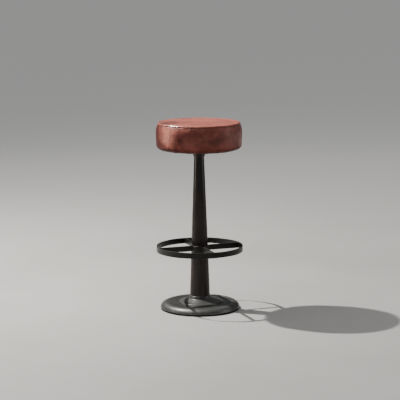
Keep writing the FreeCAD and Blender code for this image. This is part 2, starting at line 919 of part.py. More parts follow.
nodes = {
    "floor_ring": floor_ring(),
    "base_casting": base_casting(),
    "foot_collar": foot_collar(),
    "column": column(),
    "tie_rod": tie_rod(),
    "base_washer": base_washer(),
    "lock_washer": lock_washer(),
    "base_nut": base_nut(),
    "foot_ring_hub": foot_ring_hub(),
    "foot_ring_hoop": foot_ring_hoop(),
    "hub_screws": hub_screws(),
    "bearing_housing": bearing_housing(),
    "bearing_outer_ring": bearing_outer_ring(),
    "bearing_seals": bearing_seals(),
    "housing_circlip": housing_circlip(),
    "spindle_bush": spindle_bush(),
    "bearing_balls": bearing_balls(),
    "ball_cage": ball_cage(),
    "swivel_spindle": swivel_spindle(),
    "bearing_inner_ring": bearing_inner_ring(),
    "spindle_circlip": spindle_circlip(),
    "seat_plate": seat_plate(),
    "plate_screws": plate_screws(),
    "tee_nuts": tee_nuts(),
    "seat_board": seat_board(),
    "seat_foam": seat_foam(),
    "seat_side_band": seat_side_band(),
    "seat_piping": seat_piping(),
    "seat_top_panel": seat_top_panel(),
    "dust_cover": dust_cover(),
    "cover_staples": cover_staples(),
}
for index, spoke in enumerate(around(foot_ring_spoke(), spoke_count)):
    nodes[f"foot_ring_spoke_{index + 1}"] = spoke

os.makedirs("parts", exist_ok=True)
for name, shape in nodes.items():
    shape.exportStep(f"parts/{name}.step")
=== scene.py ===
import json
import math

import bpy
import numpy as np
from mathutils import Matrix, Vector


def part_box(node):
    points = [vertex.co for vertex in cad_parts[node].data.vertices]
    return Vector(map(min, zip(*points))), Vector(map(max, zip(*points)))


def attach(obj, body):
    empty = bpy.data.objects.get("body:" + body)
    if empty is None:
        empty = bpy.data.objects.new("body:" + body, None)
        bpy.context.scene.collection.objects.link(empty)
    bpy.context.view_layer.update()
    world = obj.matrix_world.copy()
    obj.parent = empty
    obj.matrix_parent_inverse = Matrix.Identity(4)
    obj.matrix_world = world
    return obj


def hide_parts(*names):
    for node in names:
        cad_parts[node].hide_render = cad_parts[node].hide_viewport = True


# The looks of a swivel bar stool: waxed leather, bronzed iron, black bar and burnished casting.
# Lengths are in metres and angles in radians.

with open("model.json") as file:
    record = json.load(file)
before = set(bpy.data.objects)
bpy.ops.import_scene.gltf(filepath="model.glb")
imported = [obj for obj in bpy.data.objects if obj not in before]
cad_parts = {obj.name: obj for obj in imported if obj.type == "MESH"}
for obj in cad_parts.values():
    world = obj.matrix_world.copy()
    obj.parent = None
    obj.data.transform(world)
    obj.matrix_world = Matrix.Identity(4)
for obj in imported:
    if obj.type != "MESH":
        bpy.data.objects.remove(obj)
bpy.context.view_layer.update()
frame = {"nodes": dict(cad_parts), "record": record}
mm = 0.001
full_turn = 2 * math.pi

# Sizes read from the frame
band_low, band_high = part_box("seat_side_band")
piping_low, piping_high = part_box("seat_piping")
panel_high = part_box("seat_top_panel")[1]
board_low, board_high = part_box("seat_board")
cover_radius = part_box("dust_cover")[1].x
hub_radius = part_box("foot_ring_hub")[1].x
hoop_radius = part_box("foot_ring_hoop")[1].x
spoke_low, spoke_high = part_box("foot_ring_spoke_1")

# The seat's outline, as the solids have it
leather_thickness = 1.6 * mm
soft_gap = 0.3 * mm
under_edge_radius = 24.0 * mm
under_edge_inset = 26.0 * mm
under_edge_angle = math.radians(66.0)
belly_height = 55.5 * mm
seam_inset = 7.7 * mm
panel_rise = 3.3 * mm
turn_under_width = 37.0 * mm

# How far the soft top edge stands out from the solids
soft_swell = 1.5 * mm

seat_radius = band_high.x
seat_underside = band_low.z
seam_level = band_high.z
seam_radius = seat_radius - seam_inset + soft_swell
belly_level = seat_underside + belly_height
under_edge_center = (seat_radius - under_edge_inset, seat_underside + under_edge_radius)
turn_under_radius = under_edge_center[0] - turn_under_width
piping_radius = (piping_high.z - piping_low.z) / 2
piping_circle_radius = piping_high.x - piping_radius + soft_swell
piping_level = (piping_high.z + piping_low.z) / 2
panel_radius = panel_high.x + soft_swell
panel_rim_level = piping_level + panel_rise
panel_top = panel_high.z
bar_thickness = spoke_high.y - spoke_low.y


# Node helpers
def fill(node, values):
    """Sets a node's inputs, or joins them where the value is another node's output."""
    for key, value in values.items():
        if isinstance(value, bpy.types.NodeSocket):
            node.id_data.links.new(value, node.inputs[key])
        else:
            node.inputs[key].default_value = value
    return node


def put(tree, kind, values=None, **settings):
    """Adds a node with its settings and its input values."""
    node = tree.nodes.new(kind)
    for key, value in settings.items():
        setattr(node, key, value)
    return fill(node, values or {})


def calc(tree, operation, first, second=0.0, clamp=False):
    values = {0: first, 1: second}
    return put(tree, "ShaderNodeMath", values, operation=operation, use_clamp=clamp).outputs[0]


def times(tree, first, second, clamp=False):
    return calc(tree, "MULTIPLY", first, second, clamp)


def remap(tree, value, low, high, to_low=0.0, to_high=1.0):
    values = {"Value": value, "From Min": low, "From Max": high, "To Min": to_low, "To Max": to_high}
    return put(tree, "ShaderNodeMapRange", values).outputs["Result"]


def rgb(red, green, blue):
    return (red, green, blue, 1.0)


def paint(tree, color, *coats):
    """Lays coats over a colour, each a mask and the colour that it brings."""
    for mask, coat in coats:
        color = put(tree, "ShaderNodeMix", {0: mask, 6: color, 7: coat}, data_type="RGBA").outputs[2]
    return color


def grain(tree, place, scale, detail=4.0, roughness=0.55, distortion=0.0):
    """Cloudy noise from 0 to 1."""
    values = {"Vector": place, "Scale": scale, "Detail": detail, "Roughness": roughness}
    values["Distortion"] = distortion
    return put(tree, "ShaderNodeTexNoise", values).outputs["Fac"]


def cells(tree, place, scale):
    """Distance to the nearest border between irregular cells."""
    values = {"Vector": place, "Scale": scale}
    return put(tree, "ShaderNodeTexVoronoi", values, feature="DISTANCE_TO_EDGE").outputs["Distance"]


def stripes(tree, place, scale, distortion, direction):
    values = {"Vector": place, "Scale": scale, "Distortion": distortion}
    return put(tree, "ShaderNodeTexWave", values, bands_direction=direction).outputs["Fac"]


def stretched(tree, place, scale):
    return put(tree, "ShaderNodeMapping", {"Vector": place, "Scale": scale}).outputs["Vector"]


def upward(tree):
    """How far a face looks up: 1 on level tops, 0 on upright sides and -1 underneath."""
    normal = put(tree, "ShaderNodeNewGeometry").outputs["Normal"]
    return put(tree, "ShaderNodeSeparateXYZ", {"Vector": normal}).outputs["Z"]


def bump(tree, height, distance, strength=1.0, **below):
    values = {"Height": height, "Distance": distance, "Strength": strength, **below}
    return put(tree, "ShaderNodeBump", values).outputs["Normal"]


def add_socket(tree, label, kind, way="INPUT"):
    return tree.interface.new_socket(label, in_out=way, socket_type="NodeSocket" + kind)


def new_group(name, inputs, outputs):
    """A shader node group that takes a place and some numbers and puts out numbers."""
    tree = bpy.data.node_groups.new(name, "ShaderNodeTree")
    add_socket(tree, "Place", "Vector")
    for label, value in inputs.items():
        add_socket(tree, label, "Float").default_value = value
    for label in outputs:
        add_socket(tree, label, "Float", "OUTPUT")
    return tree, tree.nodes.new("NodeGroupInput").outputs, tree.nodes.new("NodeGroupOutput")


def spaced(values):
    """The same values under socket names with spaces."""
    return {key.replace("_", " "): value for key, value in values.items()}


def use_group(tree, group, place, **values):
    return put(tree, "ShaderNodeGroup", {"Place": place, **spaced(values)}, node_tree=group).outputs


def new_finish(name):
    """A new material, its node tree and the place of every point on its piece."""
    material = bpy.data.materials.new(name)
    material.use_nodes = True
    tree = material.node_tree
    return material, tree, put(tree, "ShaderNodeTexCoord").outputs["Object"]


def dress(material, **values):
    """Fills the inputs of the material's one shader."""
    fill(material.node_tree.nodes["Principled BSDF"], spaced(values))
    return material


# Effects that several finishes share
def edge_rub_group():
    """A mask of the outer edges, broken up as rubbing does."""
    inputs = {"Radius": 1.5 * mm, "Amount": 1.0, "Patch Scale": 60.0}
    tree, inside, out = new_group("edge_rub", inputs, ["Mask"])
    rounded = put(tree, "ShaderNodeBevel", {"Radius": inside["Radius"]}, samples=6).outputs["Normal"]
    plain = put(tree, "ShaderNodeNewGeometry").outputs["Normal"]
    same = put(tree, "ShaderNodeVectorMath", {0: rounded, 1: plain}, operation="DOT_PRODUCT")
    edge = remap(tree, same.outputs["Value"], 0.995, 0.80)
    spots = remap(tree, grain(tree, inside["Place"], inside["Patch Scale"]), 0.35, 0.62)
    fill(out, {"Mask": times(tree, times(tree, edge, spots), inside["Amount"], clamp=True)})
    return tree


def cast_skin_group():
    """The pebbly skin of a casting, as a height and a mask of its low places."""
    tree, inside, out = new_group("cast_skin", {"Scale": 500.0}, ["Height", "Pits", "Clouds"])
    place, scale = inside["Place"], inside["Scale"]
    fine = grain(tree, place, scale, detail=5.0)
    broad = grain(tree, place, times(tree, scale, 0.12), detail=3.0)
    clouds = grain(tree, place, times(tree, scale, 0.02), detail=5.0, distortion=0.4)
    height = calc(tree, "ADD", times(tree, fine, 0.45), broad)
    fill(out, {"Height": height, "Pits": remap(tree, height, 0.72, 0.5), "Clouds": clouds})
    return tree


def dust_group():
    """Where dust and fingermarks lie on faces that look up."""
    tree, inside, out = new_group("settled_dust", {"Amount": 0.3}, ["Mask"])
    facing = remap(tree, upward(tree), 0.55, 1.0)
    spots = remap(tree, grain(tree, inside["Place"], 38.0, detail=7.0, roughness=0.65), 0.35, 0.75)
    fill(out, {"Mask": times(tree, times(tree, facing, spots), inside["Amount"], clamp=True)})
    return tree


edge_rub = edge_rub_group()
cast_skin = cast_skin_group()
settled_dust = dust_group()


# Finishes
def leather_finish():
    """Waxed pull-up leather: mottled red brown, lighter where it is pulled or where it rubs, with a
    painted highlight and painted shade brought in by its point marks.
    """
    material, tree, place = new_finish("waxed_leather")
    wrinkled, rubbed, aged, dull, polished = (
        put(tree, "ShaderNodeAttribute", attribute_name=name).outputs["Fac"]
        for name in ("wrinkled", "rubbed", "aged", "dull", "polished")
    )
    mottle = grain(tree, place, 11.0, detail=7.0, roughness=0.60, distortion=0.5)
    cloud = grain(tree, place, 42.0, detail=6.0, roughness=0.62, distortion=0.4)
    speckle = grain(tree, place, 380.0, roughness=0.6)
    creases = grain(tree, place, 105.0, detail=6.0, roughness=0.68, distortion=1.4)
    pores = cells(tree, place, 720.0)

    # The lighter mark brings wear and a painted highlight on the band's left side; the darker mark
    # brings dark spots and painted shade.
    rubbed = times(tree, rubbed, remap(tree, cloud, 0.30, 0.62, 0.35, 1.0))
    hollow = times(tree, wrinkled, remap(tree, creases, 0.50, 0.36), clamp=True)
    blotch = times(tree, rubbed, remap(tree, creases, 0.52, 0.40, 0.0, 0.8), clamp=True)
    spot_and_shade_mask = times(tree, aged, remap(tree, cloud, 0.66, 0.40, 0.62, 1.1), clamp=True)

    # Fine pale cracks that wander
    wander = put(tree, "ShaderNodeTexNoise", {"Vector": place, "Scale": 60.0}).outputs["Color"]
    wander = put(tree, "ShaderNodeVectorMath", {0: wander, "Scale": 9.0 * mm}, operation="SCALE")
    bent = put(tree, "ShaderNodeVectorMath", {0: place, 1: wander.outputs["Vector"]})
    crackle = remap(tree, cells(tree, bent.outputs["Vector"], 105.0), 0.085, 0.02)
    crackle = times(tree, crackle, remap(tree, speckle, 0.42, 0.55))
    crackle = times(tree, crackle, remap(tree, rubbed, 0.05, 0.6, 0.04, 0.50))

    color = paint(
        tree,
        rgb(0.145, 0.033, 0.027),
        (remap(tree, mottle, 0.36, 0.66), rgb(0.285, 0.078, 0.063)),
        (remap(tree, cloud, 0.52, 0.72, 0.0, 0.45), rgb(0.385, 0.124, 0.100)),
        (remap(tree, cloud, 0.46, 0.30, 0.0, 0.60), rgb(0.050, 0.014, 0.013)),
        (remap(tree, speckle, 0.54, 0.72, 0.0, 0.35), rgb(0.060, 0.016, 0.012)),
        (hollow, rgb(0.045, 0.013, 0.010)),
        # Lighter leather for wear, and the painted highlight on the band's left side
        (rubbed, rgb(0.600, 0.192, 0.134)),
        (blotch, rgb(0.140, 0.036, 0.028)),
        # Dark spots, and painted shade: round the lower edge, below the seam, on the band's left side,
        # on the top and under the piping
        (spot_and_shade_mask, rgb(0.054, 0.018, 0.016)),
        (crackle, rgb(0.620, 0.290, 0.225)),
        (remap(tree, pores, 0.07, 0.0, 0.0, 0.35), rgb(0.055, 0.016, 0.012)),
    )
    rough = remap(tree, mottle, 0.3, 0.7, 0.44, 0.36)
    rough = calc(tree, "ADD", rough, remap(tree, creases, 0.35, 0.65, -0.08, 0.12))
    rough = calc(tree, "SUBTRACT", rough, times(tree, rubbed, 0.12))
    rough = calc(tree, "SUBTRACT", rough, times(tree, polished, 0.20))
    gloss = calc(tree, "ADD", 0.70, times(tree, polished, 0.3))
    gloss = times(tree, gloss, remap(tree, dull, 0.0, 1.0, 1.0, 0.06))
    wax = remap(tree, polished, 0.5, 1.0, 0.04, 0.90)
    wax = times(tree, wax, remap(tree, dull, 0.0, 0.6, 1.0, 0.0))
    pebble = remap(tree, pores, 0.0, 0.16, 0.0, 0.45)
    skin = bump(tree, calc(tree, "ADD", pebble, times(tree, creases, 0.8)), 0.26 * mm, 0.7)
    return dress(
        material,
        Base_Color=color,
        Roughness=rough,
        Specular_IOR_Level=gloss,
        Specular_Tint=rgb(1.0, 0.58, 0.50),
        Coat_Weight=wax,
        Coat_Roughness=0.22,
        Coat_IOR=1.8,
        Normal=bump(tree, creases, 1.8 * mm, times(tree, wrinkled, 0.8), Normal=skin),
    )


def casting_finish():
    """Burnished grey iron, dark in its hollows and bright on its shoulder and ridges."""
    material, tree, place = new_finish("burnished_iron")
    skin = use_group(tree, cast_skin, place, Scale=420.0)
    rub = use_group(tree, edge_rub, place, Radius=3.0 * mm, Amount=0.9, Patch_Scale=45.0)
    dust = use_group(tree, settled_dust, place, Amount=0.12)["Mask"]
    spread = put(tree, "ShaderNodeSeparateXYZ", {"Vector": place}).outputs
    squares = [calc(tree, "POWER", spread[axis], 2.0) for axis in "XY"]
    distance = calc(tree, "SQRT", calc(tree, "ADD", *squares))
    shoulder = remap(tree, distance, 0.126, 0.142)
    boss = remap(tree, distance, 0.092, 0.084)
    polished = calc(tree, "MAXIMUM", shoulder, times(tree, boss, 0.9))
    cloudy = remap(tree, skin["Clouds"], 0.32, 0.68)
    speckle = remap(tree, grain(tree, place, 300.0, roughness=0.7), 0.56, 0.72, 0.0, 0.5)
    color = paint(
        tree,
        paint(tree, rgb(0.017, 0.018, 0.017), (cloudy, rgb(0.040, 0.041, 0.039))),
        (polished, paint(tree, rgb(0.056, 0.058, 0.057), (cloudy, rgb(0.108, 0.111, 0.108)))),
        (times(tree, skin["Pits"], 0.4), rgb(0.012, 0.013, 0.012)),
        (times(tree, speckle, polished), rgb(0.240, 0.245, 0.238)),
        (rub["Mask"], rgb(0.260, 0.256, 0.245)),
        (dust, rgb(0.200, 0.190, 0.168)),
    )
    rough = remap(tree, skin["Clouds"], 0.3, 0.7, 0.41, 0.33)
    rough = calc(tree, "ADD", rough, times(tree, skin["Pits"], 0.12))
    return dress(
        material,
        Base_Color=color,
        Metallic=remap(tree, polished, 0.0, 1.0, 0.45, 0.62),
        Roughness=calc(tree, "ADD", rough, dust),
        Coat_Weight=0.06,
        Coat_Roughness=0.35,
        Normal=bump(tree, skin["Height"], 0.34 * mm, 0.6),
    )


def bronzed_finish():
    """Near-black bronze lacquer over iron, with brown showing where it is thin."""
    material, tree, place = new_finish("bronzed_iron")
    skin = use_group(tree, cast_skin, place, Scale=640.0)
    rub = use_group(tree, edge_rub, place, Radius=1.5 * mm, Amount=0.6, Patch_Scale=70.0)
    streaks = grain(tree, stretched(tree, place, (1.0, 1.0, 0.12)), 45.0, detail=5.0)
    color = paint(
        tree,
        rgb(0.011, 0.009, 0.009),
        (remap(tree, streaks, 0.36, 0.66), rgb(0.028, 0.022, 0.020)),
        (remap(tree, skin["Clouds"], 0.55, 0.75, 0.0, 0.4), rgb(0.075, 0.043, 0.028)),
        (rub["Mask"], rgb(0.210, 0.150, 0.110)),
    )
    return dress(
        material,
        Base_Color=color,
        Metallic=0.7,
        Roughness=remap(tree, streaks, 0.3, 0.7, 0.34, 0.26),
        Specular_IOR_Level=0.5,
        Specular_Tint=rgb(0.5, 0.46, 0.44),
        Coat_Weight=0.3,
        Coat_Roughness=0.16,
        Normal=bump(tree, skin["Height"], 0.10 * mm, 0.5),
    )


def bar_finish():
    """Black stove enamel on rolled bar, showing grey metal where shoes rest."""
    material, tree, place = new_finish("black_bar")
    skin = use_group(tree, cast_skin, place, Scale=700.0)
    rub = use_group(tree, edge_rub, place, Radius=1.4 * mm, Amount=1.0, Patch_Scale=55.0)
    dust = use_group(tree, settled_dust, place, Amount=0.25)["Mask"]
    color = paint(
        tree,
        rgb(0.006, 0.006, 0.006),
        (remap(tree, skin["Clouds"], 0.3, 0.7), rgb(0.014, 0.013, 0.012)),
        (rub["Mask"], rgb(0.180, 0.172, 0.160)),
        (dust, rgb(0.120, 0.112, 0.100)),
    )
    rough = remap(tree, skin["Clouds"], 0.3, 0.7, 0.42, 0.34)
    return dress(
        material,
        Base_Color=color,
        Metallic=remap(tree, rub["Mask"], 0.0, 1.0, 0.35, 0.85),
        Roughness=calc(tree, "ADD", rough, dust),
        Specular_IOR_Level=0.35,
        Coat_Weight=0.05,
        Coat_Roughness=0.25,
        Normal=bump(tree, skin["Height"], 0.06 * mm, 0.5),
    )


def steel_finish(name, bright, dull, roughness, rings=0.0):
    """Bare or plated steel with fine marks; rings turns them into a lathe's rings round Z."""
    material, tree, place = new_finish(name)
    marks = grain(tree, stretched(tree, place, (1.0, 1.0, 1.0 + rings)), 900.0, detail=3.0)
    cloudy = remap(tree, grain(tree, place, 90.0), 0.35, 0.65)
    return dress(
        material,
        Base_Color=paint(tree, rgb(*dull), (cloudy, rgb(*bright))),
        Metallic=1.0,
        Roughness=remap(tree, marks, 0.3, 0.7, roughness - 0.07, roughness + 0.07),
        Normal=bump(tree, marks, 0.03 * mm, 0.5),
    )


def rubber_finish():
    material, tree, place = new_finish("black_rubber")
    fine = grain(tree, place, 1400.0, detail=3.0)
    cloud = grain(tree, place, 60.0, detail=5.0)
    cloudy = remap(tree, cloud, 0.35, 0.7)
    return dress(
        material,
        Base_Color=paint(tree, rgb(0.004, 0.004, 0.004), (cloudy, rgb(0.014, 0.013, 0.012))),
        Roughness=remap(tree, cloud, 0.3, 0.7, 0.62, 0.80),
        Specular_IOR_Level=0.15,
        Normal=bump(tree, fine, 0.05 * mm, 0.6),
    )


def plywood_finish():
    """Birch plywood: long grain on its faces and stacked veneers on its edge."""
    material, tree, place = new_finish("birch_plywood")
    figure = grain(tree, stretched(tree, place, (1.0, 9.0, 1.0)), 22.0, detail=6.0, distortion=1.0)
    veneers = stripes(tree, place, 160.0, 0.6, "Z")
    lines = remap(tree, figure, 0.35, 0.65)
    face = paint(tree, rgb(0.42, 0.28, 0.15), (lines, rgb(0.62, 0.46, 0.28)))
    edge = paint(tree, rgb(0.26, 0.16, 0.08), (veneers, rgb(0.56, 0.40, 0.24)))
    is_face = remap(tree, calc(tree, "ABSOLUTE", upward(tree)), 0.4, 0.8)
    return dress(
        material,
        Base_Color=paint(tree, edge, (is_face, face)),
        Roughness=0.62,
        Normal=bump(tree, figure, 0.10 * mm, 0.5),
    )


def foam_finish():
    material, tree, place = new_finish("seat_foam")
    bubbles = cells(tree, place, 900.0)
    color = paint(
        tree,
        rgb(0.62, 0.50, 0.28),
        (remap(tree, grain(tree, place, 30.0), 0.3, 0.7), rgb(0.78, 0.68, 0.44)),
        (remap(tree, bubbles, 0.10, 0.0, 0.0, 0.6), rgb(0.35, 0.27, 0.14)),
    )
    normal = bump(tree, bubbles, 0.3 * mm, 0.8)
    return dress(material, Base_Color=color, Roughness=0.9, Normal=normal)


def dust_cloth_finish():
    """Black non-woven cloth with its grid of bonded dots."""
    material, tree, place = new_finish("dust_cloth")
    dots = put(tree, "ShaderNodeTexVoronoi", {"Vector": place, "Scale": 620.0, "Randomness": 0.15})
    bonded = remap(tree, dots.outputs["Distance"], 0.42, 0.22)
    fibres = grain(tree, place, 700.0, detail=6.0, roughness=0.7, distortion=2.0)
    color = paint(
        tree,
        rgb(0.010, 0.010, 0.011),
        (remap(tree, fibres, 0.35, 0.7), rgb(0.045, 0.044, 0.043)),
        (times(tree, bonded, 0.5), rgb(0.006, 0.006, 0.006)),
    )
    height = calc(tree, "SUBTRACT", fibres, times(tree, bonded, 0.6))
    return dress(
        material,
        Base_Color=color,
        Roughness=0.88,
        Sheen_Weight=0.25,
        Normal=bump(tree, height, 0.15 * mm, 0.7),
    )


def thread_finish():
    material, tree, place = new_finish("waxed_thread")
    twist = stripes(tree, place, 900.0, 1.0, "DIAGONAL")
    color = paint(tree, rgb(0.085, 0.042, 0.030), (twist, rgb(0.260, 0.140, 0.095)))
    return dress(material, Base_Color=color, Roughness=0.55, Normal=bump(tree, twist, 0.08 * mm, 0.7))


leather = leather_finish()
black_bar = bar_finish()
foam = foam_finish()
dust_cloth = dust_cloth_finish()
thread = thread_finish()
zinc = steel_finish("zinc_plate", (0.62, 0.61, 0.56), (0.46, 0.46, 0.44), 0.34)

slot_finishes = {
    "black_rubber": rubber_finish(),
    "cast_base": casting_finish(),
    "bronzed_iron": bronzed_finish(),
    "black_steel": black_bar,
    "black_screws": black_bar,
    "plate_steel": black_bar,
    "zinc_steel": zinc,
    "staple_wire": zinc,
    "spindle_steel": steel_finish("turned_steel", (0.55, 0.55, 0.56), (0.40, 0.40, 0.41), 0.27, 6.0),
    "bearing_steel": steel_finish("ground_steel", (0.68, 0.68, 0.70), (0.58, 0.58, 0.60), 0.16, 6.0),
    "spring_steel": steel_finish("spring_steel", (0.10, 0.10, 0.11), (0.05, 0.05, 0.06), 0.38),
    "brass_cage": steel_finish("cage_brass", (0.75, 0.55, 0.24), (0.58, 0.40, 0.16), 0.26),
    "bronze": steel_finish("bush_bronze", (0.62, 0.38, 0.18), (0.42, 0.25, 0.12), 0.36, 6.0),
    "birch_ply": plywood_finish(),
    "brown_leather": leather,
    "foam": foam,
    "dust_cloth": dust_cloth,
}
for subpart in frame["record"]["subparts"]:
    for material_slot in frame["nodes"][subpart["node"]].material_slots:
        material_slot.material = slot_finishes[subpart["material_slot"]]


# Outline helpers
def arc_points(start, middle, end, count):
    """Evenly spaced points along the arc through three points, without its last point."""
    rows = [(2 * (p[0] - start[0]), 2 * (p[1] - start[1])) for p in (middle, end)]
    sides = [p[0] ** 2 + p[1] ** 2 - start[0] ** 2 - start[1] ** 2 for p in (middle, end)]
    center = np.linalg.solve(np.array(rows), np.array(sides))
    radius = math.dist(center, start)
    angles = [math.atan2(p[1] - center[1], p[0] - center[0]) for p in (start, middle, end)]
    first, last = np.unwrap(angles)[[0, 2]]
    turns = np.linspace(first, last, count + 1)[:-1]
    return [(center[0] + radius * math.cos(a), center[1] + radius * math.sin(a)) for a in turns]


def line_points(start, end, count):
    """Evenly spaced points along a straight line, with both of its ends."""
    return [tuple(np.array(start) + (np.array(end) - start) * k / count) for k in range(count)] + [end]


def under_edge(turn, radius):
    """A point of the lower edge's rounding, turned up from straight below its centre."""
    across, level = under_edge_center
    return across + radius * math.sin(turn), level - radius * math.cos(turn)


def even_angles(count):
    return np.linspace(0, full_turn, count, endpoint=False)


def polar(points):
    """Every point's distance from the stool's axis and its angle round it."""
    return np.hypot(points[:, 0], points[:, 1]), np.arctan2(points[:, 1], points[:, 0])


def hill(distance, width):
    """1 in the middle, and less with distance to both sides."""
    return np.exp(-((distance / width) ** 2))


def fade(distance, reach):
    """1 up to a distance of 0, and less beyond it."""
    return np.exp(-np.maximum(distance, 0) / reach)


def waves(angle, counts, shift=0.0):
    """Uneven ripples round a circle, from minus 1 to 1: several counts that drift in and out."""
    total = sum(np.cos(count * angle + shift + 1.7 * k) for k, count in enumerate(counts))
    return total / len(counts)


# Mesh helpers
def add_object(name, data):
    new = bpy.data.objects.new(name, data)
    bpy.context.scene.collection.objects.link(new)
    return new


def new_piece(name, points, faces, material):
    """A smooth mesh object at the origin, with its place in its mesh."""
    mesh = bpy.data.meshes.new(name)
    mesh.from_pydata([tuple(p) for p in points], [], faces)
    mesh.shade_smooth()
    mesh.materials.append(material)
    return add_object(name, mesh)


def discard(*helpers):
    """Removes helping objects with their meshes."""
    for helper in helpers:
        mesh = helper.data
        bpy.data.objects.remove(helper)
        bpy.data.meshes.remove(mesh)


def turn_profile(profile, angles, closed=False, flip=False):
    """Points and faces of a profile turned about Z; closed joins its last row to its first.

    The faces look outward where the outer side runs upward; flip turns them round.
    """
    rows = len(profile)
    count = len(angles)
    points = [(r * math.cos(a), r * math.sin(a), z) for r, z in profile for a in angles]
    faces = []
    for row in range(rows if closed else rows - 1):
        near, far = row * count, (row + 1) % rows * count
        for k in range(count):
            step = (k + 1) % count
            face = (near + k, near + step, far + step, far + k)
            faces.append(face[::-1] if flip else face)
    return np.array(points), faces


def keep(piece, body, slot, *replaced):
    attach(piece, body)
    if replaced:
        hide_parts(*replaced)


def thicken(piece, thickness):
    """Gives a skin its thickness on its inner side."""
    solid = piece.modifiers.new("thickness", "SOLIDIFY")
    solid.thickness = thickness
    solid.offset = -1.0
    solid.use_even_offset = True


def mark(piece, **layers):
    """Keeps numbers per point for the finish to read."""
    for name, values in layers.items():
        layer = piece.data.attributes.new(name, "FLOAT", "POINT")
        layer.data.foreach_set("value", np.array(values, dtype=np.float32))


# Cloth simulation
cloth_frames = 20
first_unevenness = 0.05 * mm
band_seed = 11
panel_seed = 12


def press_out(name, points, faces, held, growth, cap):
    """How far each point of a skin moves when the foam presses it out between its seams."""
    trial = new_piece(name, points, faces, leather)
    trial.vertex_groups.new(name="held").add([int(k) for k in held], 1.0, "REPLACE")
    cloth = trial.modifiers.new("cloth", "CLOTH")
    settings = cloth.settings
    settings.quality = 6
    settings.mass = 0.02
    settings.tension_stiffness = settings.compression_stiffness = 15.0
    settings.shear_stiffness = 5.0
    settings.bending_stiffness = 0.5
    settings.use_pressure = True
    settings.uniform_pressure_force = 4.0
    settings.effector_weights.gravity = 0.0
    settings.vertex_group_mass = "held"
    settings.shrink_min = -growth
    cloth.point_cache.frame_start = 1
    cloth.point_cache.frame_end = cloth_frames
    scene = bpy.context.scene
    for number in range(1, cloth_frames + 1):
        scene.frame_set(number)
    pressed = trial.evaluated_get(bpy.context.evaluated_depsgraph_get())
    moved = np.empty(3 * len(points))
    pressed.data.vertices.foreach_get("co", moved)
    shift = moved.reshape(-1, 3) - points
    length = np.linalg.norm(shift, axis=1)
    shift *= np.minimum(1, cap / np.maximum(length, 1e-9))[:, None]
    discard(trial)
    scene.frame_set(1)
    return shift


def resample(values, count, axis):
    """Values along one axis of a table, spread evenly over more places."""
    places = np.linspace(0, values.shape[axis] - 1, count)
    known = np.arange(values.shape[axis])
    return np.apply_along_axis(lambda line: np.interp(places, known, line), axis, values)


# Leather side band
seam_angle = math.radians(70.0)
stitch_offset = 3.4 * mm
band_segments = 400
trial_segments = 300
band_ripples = (83, 97, 131)
pleat_ripples = (41, 53, 67)
tuck_rows = 5
side_rows = 34
edge_rows = 12
turn_under_rows = 9

# Where the band is darker: angle and reach round it in degrees, height and reach in mm, depth
aged_places = (
    # The first two rows are painted shade: on the band's far left side, and low on its left side.
    (-196, 24, 58, 90, 1.60),
    (-163, 24, 17, 19, 0.70),
    (-138, 9, 56, 34, 0.80),
    (-118, 13, 74, 24, 0.50),
    (-97, 9, 44, 20, 0.30),
    (-75, 15, 62, 32, 0.54),
    (-50, 12, 56, 60, 0.38),
    (-12, 16, 70, 30, 0.60),
    (40, 13, 48, 40, 0.55),
    (96, 15, 66, 34, 0.60),
    (133, 10, 40, 34, 0.50),
)
# The same, where it is lighter and creased: the first row is a painted highlight on the band's left
# side, the others are wear
wear_and_highlight_places = (
    (-157, 10, 56, 46, 1.20),
    (-35, 8, 36, 26, 0.30),
    (22, 11, 60, 36, 0.50),
    (112, 9, 44, 40, 0.45),
)
# The same, where the piping shines most
piping_shine = (
    (-150, 42, 104, 60, 1.0),
    (30, 42, 104, 60, 0.8),
)


def patches(places, angle, height):
    """A value for every point, high in the places listed."""
    total = np.zeros(len(angle))
    for turn, reach, level, rise, depth in places:
        away = np.angle(np.exp(1j * (angle - math.radians(turn)))) / math.radians(reach)
        above = (height - seat_underside - level * mm) / (rise * mm)
        total += depth * np.exp(-(away ** 2) - above ** 2)
    return total


def band_profile():
    """The band's outer face, from its tuck under the piping down to its end under the seat."""
    tuck = (seam_radius - 2.4 * mm, seam_level - 1.5 * leather_thickness)
    tuck_middle = (seam_radius - 1.4 * mm, seam_level - 0.2 * mm)
    lip = (seam_radius - 0.1 * mm, seam_level - leather_thickness)
    edge_end = under_edge(under_edge_angle, under_edge_radius)
    edge_middle = under_edge(under_edge_angle / 2, under_edge_radius)
    flat_start = (under_edge_center[0], seat_underside)
    profile = arc_points(tuck, tuck_middle, lip, tuck_rows)
    profile += arc_points(lip, (seat_radius, belly_level), edge_end, side_rows)
    profile += arc_points(edge_end, edge_middle, flat_start, edge_rows)
    return profile + line_points(flat_start, (turn_under_radius, seat_underside), turn_under_rows)


def band_angles():
    """Even angles round the band, with finer ones at its upright seam."""
    even = even_angles(band_segments)
    fine_reach = math.radians(2.2)
    fine = seam_angle + np.linspace(-fine_reach, fine_reach, 31)
    return np.sort(np.concatenate([even[np.abs(even - seam_angle) > fine_reach * 1.05], fine]))


